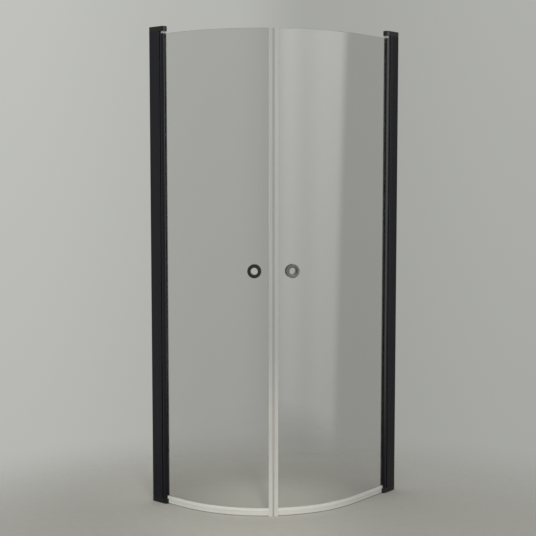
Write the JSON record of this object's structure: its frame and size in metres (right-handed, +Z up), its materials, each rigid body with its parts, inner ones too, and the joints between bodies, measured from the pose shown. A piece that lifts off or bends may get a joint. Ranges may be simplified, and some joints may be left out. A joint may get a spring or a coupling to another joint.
{
  "type": "corner shower enclosure",
  "caption": "Quadrant corner shower enclosure: curved clear glass doors on black wall posts, with finger rings, magnet seals and bottom seals.",
  "frame": {"origin": "centre of the bounding box in plan, on the floor", "axes": "+Z up; the left wall is the plane on the -X side and the other wall is the plane on the +Y side, so the room corner is at -X +Y and the curved doors face +X -Y"},
  "size_m": [0.697, 0.805, 2],
  "materials": {
    "black_aluminium": "satin powder coat",
    "black_caps": "satin moulded",
    "black_screws": "satin",
    "steel_screws": "zinc plated",
    "steel_pins": "ground",
    "grey_bushes": "turned acetal",
    "clear_glass": "clear toughened",
    "clear_gasket": "clear soft",
    "clear_seals": "milky extruded",
    "magnet_rubber": "matt",
    "black_rings": "satin black",
    "clear_washers": "clear soft"
  },
  "bodies": {
    "posts": {"left_wall_channel": "black_aluminium", "left_hinge_carrier": "black_aluminium", "left_side_screws": "black_screws", "left_top_cap": "black_caps", "left_bottom_cap": "black_caps", "left_cap_screws": "steel_screws", "left_top_pin": "steel_pins", "left_bottom_pin": "steel_pins", "right_wall_channel": "black_aluminium", "right_hinge_carrier": "black_aluminium", "right_side_screws": "black_screws", "right_top_cap": "black_caps", "right_bottom_cap": "black_caps", "right_cap_screws": "steel_screws", "right_top_pin": "steel_pins", "right_bottom_pin": "steel_pins"},
    "left_door": {"left_hinge_post": "black_aluminium", "left_top_plate": "black_caps", "left_bottom_plate": "black_caps", "left_top_bush": "grey_bushes", "left_bottom_bush": "grey_bushes", "left_glass": "clear_glass", "left_glazing_gasket": "clear_gasket", "left_bottom_seal": "clear_seals", "left_magnet_seal": "clear_seals", "left_magnet_strip": "magnet_rubber", "left_outer_ring": "black_rings", "left_inner_ring": "black_rings", "left_ring_tube": "black_rings", "left_ring_sleeve": "clear_washers", "left_outer_washer": "clear_washers", "left_inner_washer": "clear_washers"},
    "right_door": {"right_hinge_post": "black_aluminium", "right_top_plate": "black_caps", "right_bottom_plate": "black_caps", "right_top_bush": "grey_bushes", "right_bottom_bush": "grey_bushes", "right_glass": "clear_glass", "right_glazing_gasket": "clear_gasket", "right_bottom_seal": "clear_seals", "right_magnet_seal": "clear_seals", "right_magnet_strip": "magnet_rubber", "right_outer_ring": "black_rings", "right_inner_ring": "black_rings", "right_ring_tube": "black_rings", "right_ring_sleeve": "clear_washers", "right_outer_washer": "clear_washers", "right_inner_washer": "clear_washers"}
  },
  "joints": [
    {"name": "left_door_swing", "type": "hinge", "parent": "posts", "child": "left_door", "pos_m": [-0.2815, -0.3875, 0], "axis": [0, 0, -1], "range_deg": [0, 95]},
    {"name": "right_door_swing", "type": "hinge", "parent": "posts", "child": "right_door", "pos_m": [0.3335, 0.3355, 0], "axis": [0, 0, 1], "range_deg": [0, 95]}
  ]
}
